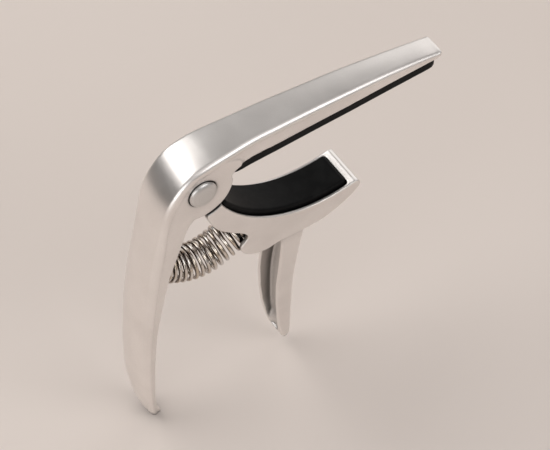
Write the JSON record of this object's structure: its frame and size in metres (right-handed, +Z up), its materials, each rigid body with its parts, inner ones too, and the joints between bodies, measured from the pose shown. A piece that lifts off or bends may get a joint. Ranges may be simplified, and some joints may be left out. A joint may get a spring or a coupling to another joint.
{
  "type": "guitar capo",
  "caption": "Spring-loaded trigger capo: padded arm with rear handle, hinged padded jaw with front handle, rivet hinge and bent compression spring.",
  "frame": {"origin": "middle of the string pad's flat underside, where the pad meets the strings", "axes": "+X along the arm to its tip, +Z up out of the fretboard, +Y across, along the neck; the rivet's head is on the -Y side"},
  "size_m": [0.0725, 0.0114, 0.0737],
  "materials": {
    "casting": "satin cast and bead-blasted",
    "pad_rubber": "matt",
    "rivet_steel": "satin",
    "bushing": "machined",
    "washer": "moulded nylon",
    "spring_steel": "bright drawn wire"
  },
  "bodies": {
    "top_jaw": {"frame": "casting", "string_pad": "pad_rubber", "pivot_rivet": "rivet_steel", "rivet_cap": "rivet_steel", "thrust_washer_near": "washer", "thrust_washer_far": "washer", "main_spring": "spring_steel"},
    "bottom_jaw": {"lever": "casting", "neck_pad": "pad_rubber", "hinge_bushing": "bushing"}
  },
  "joints": [
    {"name": "jaw_hinge", "type": "hinge", "parent": "top_jaw", "child": "bottom_jaw", "pos_m": [-0.0339, 0, 0.0004], "axis": [0, 1, 0], "range_deg": [-26, 16], "stiffness_Nm_per_rad": 0.9, "deforming": ["main_spring"]}
  ]
}
